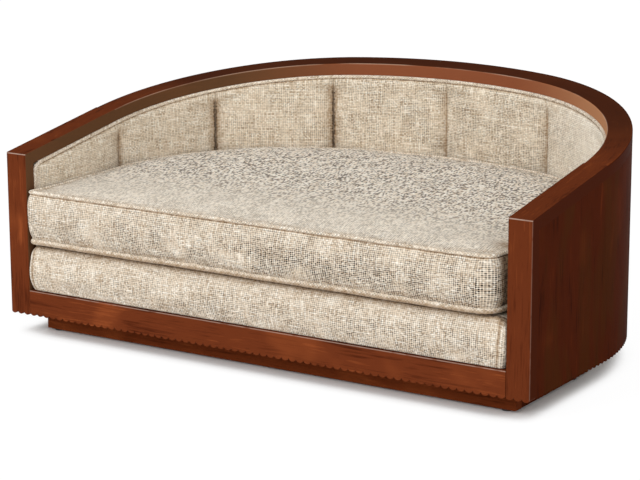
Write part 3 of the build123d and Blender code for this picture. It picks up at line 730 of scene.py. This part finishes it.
ring_top, ring_low = closed_ring(top_runs), closed_ring(low_runs)
step = np.linalg.norm(np.diff(ring_top, axis=0), axis=1)
round_run = np.concatenate(([0], np.cumsum(step)))
outward = np.roll(ring_top[:-1], -1, 0) - np.roll(ring_top[:-1], 1, 0)
outward = np.stack((outward[:, 1], -outward[:, 0]), 1)
outward /= np.linalg.norm(outward, axis=1)[:, None]
outward = np.vstack((outward, outward[:1]))
box_rows, even_share = 29, 0.35
side_swell, front_swell = 0.0042, 0.0050
rise = np.linspace(0, 1, box_rows)[:, None]
rise = even_share * rise + (1 - even_share) / 2 * (1 - np.cos(math.pi * rise))
box_top = seam_over(ring_top[:, 1]) - seam_thickness
at_front = np.clip((front_y + 0.03 - ring_top[:, 1]) / 0.02, 0, 1)
swell = (1 - abs(2 * rise - 1) ** 3.4) ** 0.8 * (side_swell + front_swell * at_front)[None]
boxing_plan = ring_low + rise[..., None] * (ring_top - ring_low) + swell[..., None] * outward
boxing_plan[..., 0] = np.clip(boxing_plan[..., 0], -post_line, post_line)
box_height = box_low + rise * (box_top - box_low)
boxing = np.dstack((boxing_plan, box_height))
box_cloth = np.dstack(np.broadcast_arrays(round_run[None], box_height))
# Painted shade: a dark line just under the upper piping and a softer one above the lower piping.
under_welt, over_welt = box_top - 0.0028 - box_height, box_height - box_low - 0.006
seam_shade = 0.95 * np.exp(-(under_welt / 0.0008) ** 2)
seam_shade += 0.30 * np.exp(-(over_welt / 0.004) ** 2)
# Painted shade: the boxing round the flanks and back is painted darker, as if in the shade beside the
# posts.
seam_shade = seam_shade + 0.8 * ease_between(ring_top[:, 1], front_y + 0.010, front_y + 0.024)
box_held = np.broadcast_to((rise < 0.01) | (rise > 0.99), box_height.shape)
top_held = inward < 1e-9
# Painted shade: a golden shade on the upper panel near the right front corner, beside the post.
corner_shade_centre, corner_shade_reach = (inner_side - 0.032, front_y + 0.058), (0.020, 0.022)
corner_shade = 0.6 * np.exp(-(((top_plan - corner_shade_centre) / corner_shade_reach) ** 2).sum(-1))
seat_tweed = tweed("seat_tweed", fleck=1.15, speckle=0.85, closed=(0.184, 0.222))
cushion = sew(
    "seat_cushion",
    [
        panel(top_grid, top_plan, corner_shade, top_held), panel(low_grid, low_plan),
        panel(boxing, box_cloth, seam_shade, box_held),
    ],
    seat_tweed, ("cushion_cover", "cushion_core"), "cushion",
)
fill(cushion, 2.5, 0.012, 0.005)


# Piping of the cushion: a cord wrapped on the bias in the same tweed, sewn into both seams. The
# upper one is fine, and the lower one is fuller and lies in shade underneath.
def tube(name, path, inward, finish, node_names, body, thick, under=0.0, closed=True):
    """A piping cord: circles set square to a path, each point the path plus the radius times the
    cosine and sine of a turn along two directions, inward and one square to it. under is how
    deep its lower side lies in shade. Open ends are closed by a small cap."""
    after, before = np.roll(path, -1, 0), np.roll(path, 1, 0)
    ahead = after - before if closed else np.gradient(path, axis=0)
    ahead /= np.linalg.norm(ahead, axis=1)[:, None]
    beside = inward - (inward * ahead).sum(1)[:, None] * ahead
    beside /= np.linalg.norm(beside, axis=1)[:, None]
    over = np.cross(beside, ahead)
    cord_sides = 16
    turn = np.linspace(0, 2 * math.pi, cord_sides + 1)[None, :, None]
    ring = path[:, None] + thick * (np.cos(turn) * beside[:, None] + np.sin(turn) * over[:, None])
    step = np.linalg.norm(np.diff(path, axis=0), axis=1)
    run = np.concatenate(([0], np.cumsum(step)))[:, None]
    if closed:
        ring = np.concatenate((ring, ring[:1]))
        run = np.concatenate((run, run[-1:] + np.linalg.norm(path[0] - path[-1])))
    wrap = thick * turn[..., 0]
    cloth = np.dstack((run + wrap, run - wrap)) * math.sin(math.pi / 4)
    middle = np.concatenate((path, path[:1])) if closed else path
    low_side = np.clip(0.9 - 1.2 * (ring[..., 2] - middle[:, None, 2]) / thick, 0, 1)
    panels = [panel(ring, cloth, under * low_side)]
    if not closed:
        share = np.linspace(0, 1, 3)[:, None, None]
        for end, middle in ((ring[0], path[0]), (ring[-1], path[-1])):
            panels.append(patch(end + (middle - end) * share))
    return sew(name, panels, finish, node_names, body)


welt_front_cells, welt_side_cells = 360, 200
wave_height = 0.0004
piping_tweed = tweed("piping_tweed", across=0.0034, down=0.0034, fleck=0.60)
for name, seam, corners, inset, thick, under in (
    ("top_welt", seam_top, top_corners, 0.0048, 0.0026, 0.0),
    ("bottom_welt", seam_low, low_corners, 0.0030, 0.0043, 0.6),
):
    loop = closed_ring(cushion_outline(inset, corners, welt_front_cells, welt_side_cells))[:-1]
    step = np.linalg.norm(np.roll(loop, -1, 0) - loop, axis=1)
    run = np.concatenate(([0], np.cumsum(step)[:-1]))
    wave = wave_height * np.sin(run * 41) * np.sin(run * 17 + 1)
    lift = seam_over(loop[:, 1]) - seam_top if seam == seam_top else 0
    path = np.column_stack((loop, seam + wave + lift))
    along = np.roll(loop, -1, 0) - np.roll(loop, 1, 0)
    inward = np.column_stack((-along[:, 1], along[:, 0], 0 * run))
    cord = tube(f"{name}_piping", path, inward, piping_tweed, (name,), "cushion", thick, under)


# Channels: eight upright pads on the inner wall, each foam under tweed, pulled in tight at the
# seams between them and rolled over at the top under the piping.
liner = 0.0294
channel_count, channel_foot, cord_room = 8, 0.1258, 0.0066
channel_columns, channel_rows, roll_rows = 41, 29, 8
channel_run = wall_run(wall_depth) + arm_straight - post_depth - cord_room
welt_offset = 0.0380
back_piping = 0.0029


def channel_form(start, end, shade_at_start, shade_at_end):
    """Panels of one channel: a rounded swell across, a roll-over at the top, and a flat back.

    Across, the swell is a superellipse that stands nearly upright at each seam, where the cloth
    is pulled in to the liner; the pull fades out below the piping and isn't there beside a post.
    Up the pad the swell fades on a quarter circle over its last stretch. Painted shade lies
    most before its end seam and on both sides of a seam given a share of it, with a dark line
    under the piping.
    """
    across = (1 - np.cos(np.linspace(0, math.pi, channel_columns))) / 2
    travel = start + (end - start) * across
    steps = np.linspace(0, 1, channel_rows), 1 + np.linspace(0, 1, roll_rows + 1)[1:]
    steps = np.concatenate(steps)
    up, turn = np.minimum(steps, 1)[:, None], np.maximum(steps - 1, 0)[:, None] * math.pi / 2
    x, y, in_x, in_y = wall_at(travel, wall_depth)
    roll_height, top_gap = 0.012, 0.0050
    top = rim_under(y + (wall_depth - welt_offset) * in_y) - top_gap
    height = channel_foot + (top - roll_height - channel_foot) * up + roll_height * np.sin(turn)
    pull = ease_between(top - height, 0.002, 0.024)
    near_start, near_end = travel - start, end - travel
    nearer_seam = np.where(near_start < near_end, start, end)
    at_post = abs(abs(nearer_seam) - channel_run) < 0.002
    pull = pull * np.where(at_post, 0.15, 1)
    slack_valley, sewn_pull, full_depth = 0.0400, 0.0048, 0.0456
    valley = slack_valley - sewn_pull * pull
    bulge = (1 - abs(2 * across - 1) ** 2.6) ** (1 / 1.35)
    full = valley + (full_depth - valley) * bulge
    tucked = welt_offset - 0.002
    offset = tucked + (full - tucked) * np.cos(turn)
    offset = np.maximum(offset, valley)
    front = np.dstack((x + (offset - wall_depth) * in_x, y + (offset - wall_depth) * in_y, height))
    back_x, back_y = x + (liner - wall_depth) * in_x, y + (liner - wall_depth) * in_y
    back = np.dstack((back_x + 0 * height, back_y + 0 * height, height))
    cloth = np.dstack(np.broadcast_arrays(travel[None], height))
    # Painted shade beside each seam, darkest before the end seam, and a dark line under the piping.
    line = np.exp(-(near_start / (0.002 + 0.002 * shade_at_start)) ** 2) * (0.20 + 0.25 * shade_at_start)
    line = line + np.exp(-(near_end / (0.003 + 0.001 * shade_at_end)) ** 2) * (0.28 + 0.2 * shade_at_end)
    wide = np.exp(-(near_start / (0.004 + 0.009 * shade_at_start)) ** 2) * (0.06 + 0.40 * shade_at_start)
    wide = wide + np.exp(-(near_end / 0.015) ** 2) * (0.36 + 0.14 * shade_at_end)
    fold = pull * (line + wide) + 0.9 * np.exp(-((top - height) / 0.0022) ** 2)
    held = np.ones(height.shape)
    held[1:channel_rows, 1:-1] = 0
    share = np.linspace(0, 1, 4)
    lid = front[-1] + (back[-1] - front[-1]) * share[:, None, None]
    base = back[0] + (front[0] - back[0]) * share[:, None, None]
    left_side = back[:, :1] + (front[:, :1] - back[:, :1]) * share[None, :, None]
    right_side = back[:, -1:] + (front[:, -1:] - back[:, -1:]) * share[None, :, None]
    hidden = [patch(part) for part in (back, lid, base, left_side, right_side)]
    return [panel(front, cloth, np.minimum(fold, 1), held)] + hidden


back_tweed = tweed("back_tweed", fleck=0.74, warmth=2, pale=0.5)
seams = channel_run * np.linspace(-1, 1, channel_count + 1)
seams[1:3] += 0.010, 0.003
seam_shade_shares = (0, 0.7, 1, 1, 0, 0, 0, 0, 0)
stitch_room = 0.0002
for number in range(channel_count):
    start_x, end_x = seams[number] + stitch_room, seams[number + 1] - stitch_room
    panels = channel_form(start_x, end_x, seam_shade_shares[number], seam_shade_shares[number + 1])
    name = f"channel_{number + 1}"
    pad = sew(f"{name}_pad", panels, back_tweed, (name,), "bed")
    fill(pad, 2.0, 0.010, 0.0020)


# Piping under the rim: one long cord that closes the tops of the channels, then turns down
# behind each post.
cord_gap = back_piping + 0.0003
cord_end_y = front_y + post_depth + cord_gap
arm_points, bend_points, drop_points, corner_points = 60, 420, 30, 10
straight = np.linspace(cord_end_y, spring_y, arm_points)
reach_x = half_width - welt_offset
travel = np.linspace(-wall_run(welt_offset), wall_run(welt_offset), bend_points)
bend_x, bend_y, bend_in_x, bend_in_y = wall_at(travel, welt_offset)
left_run = np.column_stack((np.full(arm_points, -reach_x), straight))
right_run = np.column_stack((np.full(arm_points, reach_x), straight[::-1]))
plan = np.vstack((left_run[:-1], np.column_stack((bend_x, bend_y)), right_run[1:]))
top_path = np.column_stack((plan, rim_under(plan[:, 1]) - cord_gap / math.cos(slope)))
turn_radius = 0.010
drop = np.linspace(channel_foot, top_path[0, 2] - turn_radius, drop_points)
turn = np.linspace(0, math.pi / 2 - slope, corner_points)[1:]
arc_y = cord_end_y + turn_radius * (1 - np.cos(turn))
arc_z = drop[-1] + turn_radius * np.sin(turn)
side_y = np.concatenate((np.full(drop_points, cord_end_y), arc_y))
side_z = np.concatenate((drop, arc_z))
side_path = np.column_stack((np.full(len(side_y), -reach_x), side_y, side_z))
bend_inward = np.column_stack((bend_in_x, bend_in_y, 0 * bend_in_x))
left_inward = np.tile([1.0, 0.0, 0.0], (arm_points - 1, 1))
top_inward = np.vstack((left_inward, bend_inward, -left_inward))
clear = top_path[:, 1] > arc_y[-1] + 0.002
side_inward = np.tile([1.0, 0.0, 0.0], (len(side_path), 1))
path = np.vstack((side_path, top_path[clear], (side_path * np.array([-1, 1, 1]))[::-1]))
inward = np.vstack((side_inward, top_inward[clear], -side_inward))
cord = tube(
    "back_piping", path, inward, piping_tweed, ("back_welt",), "bed", back_piping, 0.1, closed=False
)


# Front band: a padded roll of tweed over the seat rail, fuller in its lower half, rolled back
# over its top edge and folded in at both ends like a parcel.
band_half = half_width - wall_depth - 0.0008
band_low, band_top = 0.0713, 0.1442
band_back = front_y + post_depth - 0.0003
band_rows, band_columns, face_part = 45, 161, 0.66
foot_setback, face_swell, roll_start, lip_depth = 0.0045, 0.0095, 0.0560, 0.003
share = np.linspace(0, 1, band_rows)
face_share = np.minimum(share / face_part, 1)
roll_turn = np.maximum(share - face_part, 0) / (1 - face_part) * math.pi / 2
face_y = np.sin(math.pi * face_share ** 0.8 * 0.86) ** 0.8
face_y = front_y + foot_setback - face_swell * face_y
roll_y = face_y + (band_back - lip_depth - face_y) * (1 - np.cos(roll_turn))
roll_z = band_low + roll_start * face_share + (band_top - band_low - roll_start) * np.sin(roll_turn)
step = np.hypot(np.diff(roll_y), np.diff(roll_z))
band_run = np.concatenate(([0], np.cumsum(step)))[:, None]
side = np.linspace(-1, 1, band_columns)
side = np.sign(side) * (1 - (1 - abs(side)) ** 1.15)
x = band_half * side[None]
from_end = band_half - abs(x)
corner_reach, gather_reach = 0.018, 0.010
corner = np.sqrt(1 - (1 - np.clip(from_end / corner_reach, 0, 1)) ** 2)
tuck = np.sqrt(1 - (1 - np.clip(from_end / gather_reach, 0, 1)) ** 2)
level_share = ((roll_z - band_low) / (band_top - band_low))[:, None]
end_drop, end_thinning = 0.18, 0.22
band_z = band_low + (roll_z[:, None] - band_low) * (1 - end_drop * (1 - corner) * level_share)
band_y = band_back + (roll_y[:, None] - band_back) * (1 - end_thinning + end_thinning * tuck)
foot_taper = 0.006
taper = foot_taper * np.clip(1 - level_share / 0.45, 0, 1) ** 2 * np.exp(-from_end / 0.04)
band_x = x - np.sign(x) * taper
face = np.dstack(np.broadcast_arrays(band_x, band_y, band_z))
cloth = np.dstack(np.broadcast_arrays(x, band_run))
# Painted shade: a dark crease line near each end of the band, and the band's top where it rolls back
# under the cushion.
end_crease_shade = 0.75 * np.exp(-((from_end - 0.0095) / 0.0011) ** 2) + 0 * band_run
top_shade = 0.35 * ease_between(level_share, 0.84, 0.94) + 0.5 * ease_between(level_share, 0.93, 1)
top_shade = top_shade + 0 * x
back = face.copy()
back[..., 1] = band_back
thirds = np.linspace(0, 1, 3)
top_lip = face[-1] + (back[-1] - face[-1]) * thirds[:, None, None]
foot_lip = back[0] + (face[0] - back[0]) * thirds[:, None, None]
left_end = back[:, :1] + (face[:, :1] - back[:, :1]) * thirds[None, :, None]
right_end = back[:, -1:] + (face[:, -1:] - back[:, -1:]) * thirds[None, :, None]
held = np.ones(band_z.shape)
held[2:-6, 3:-3] = 0
band_tweed = tweed("band_tweed", fleck=0.92, closed=(0.098, 0.136))
band = sew(
    "front_band_pad",
    [panel(face, cloth, np.maximum(end_crease_shade, top_shade), held)]
    + [patch(part) for part in (back, top_lip, foot_lip, left_end, right_end)],
    band_tweed, ("front_band",), "bed",
)
fill(band, 1.5, 0.008, 0.0022)


# Deck padding: a flat sheet of wadding under a plain calico cover, glued to the deck board. The
# loose cushion hides it, and it shows when the cushion is lifted out.
deck_cloth, shader, start = new_finish("deck_cloth")
flat = start.node("ShaderNodeTexCoord", {}, {}, "Object")
x, y, z = flat.split()
threads = x.math("SINE", x * 5200) * y.math("SINE", y * 5200)
weave = flat.noise(60, 3.0) * 0.5 + threads * 0.08 + 0.25
calico = weave.ramp((0.3, paint(196, 188, 172)), (0.7, paint(228, 222, 208)))
inputs = {"Strength": 0.3, "Distance": 0.0003, "Height": threads}
bump = start.node("ShaderNodeBump", {}, inputs)
feed(shader, start, Base_Color=calico, Roughness=0.9 + threads * 0.05, Normal=bump)
deck_inset, deck_corner = 0.002, (0.006, 0.0034)
deck_front = front_y + 0.0195
deck_low, deck_high, deck_edge = 0.1256, 0.1443, 0.1408
deck_runs = cushion_outline(deck_inset, (deck_corner, deck_corner), 60, 34)
deck_plan = spread_between(*deck_runs)
deck_plan[..., 1] = np.maximum(deck_plan[..., 1], deck_front)
deck_crown = deck_high - (deck_high - deck_edge) * (1 - edge_share(deck_plan)) ** 10
deck_top = np.dstack((deck_plan, deck_crown))
deck_base = np.dstack((deck_plan, np.full(deck_plan.shape[:2], deck_low)))
ring = closed_ring(deck_runs)
ring[:, 1] = np.maximum(ring[:, 1], deck_front)
wall_rows = 5
wall_height = np.linspace(deck_low, deck_edge, wall_rows)[:, None] + 0 * ring[None, :, 0]
deck_wall = np.dstack((np.broadcast_to(ring, (wall_rows, *ring.shape)), wall_height))
deck = sew(
    "deck_padding", [panel(deck_top, deck_plan), panel(deck_base, deck_plan), patch(deck_wall)],
    deck_cloth, ("deck_pad",), "bed",
)


# Filling: every cover set up above is blown out together, kept within its cap and off the
# posts and the wall, and smoothed.
filling_frames, wall_hold = 20, 0.85
flat_shapes = [points_of(piece.data) for piece, _ in covers]
for number in range(1, filling_frames + 1):
    scene.frame_set(number)
graph = bpy.context.evaluated_depsgraph_get()
for (piece, cap), old in zip(covers, flat_shapes):
    blown = piece.evaluated_get(graph)
    move = points_of(blown.to_mesh()) - old
    blown.to_mesh_clear()
    length = np.linalg.norm(move, axis=1, keepdims=True)
    move *= cap * np.tanh(length / cap) / np.maximum(length, 1e-9)
    if piece == cushion:
        walled = np.clip((old[:, 1:2] - front_y) / 0.02, 0, 1)
        move[:, :2] *= 1 - wall_hold * walled
    new = old + move
    if piece in (cushion, band):
        new[:, 0] = np.clip(new[:, 0], -post_line, post_line)
    piece.data.vertices.foreach_set("co", new.astype(np.float32).ravel())
    piece.data.update()
scene.frame_set(1)
for piece, _ in covers:
    piece.modifiers.remove(piece.modifiers["filling"])
    finer = piece.modifiers.new("smooth", "SUBSURF")
    finer.levels = finer.render_levels = 1
for piece in scene.objects:
    if piece.type == "MESH" and "held" in piece.data.attributes:
        piece.data.attributes.remove(piece.data.attributes["held"])
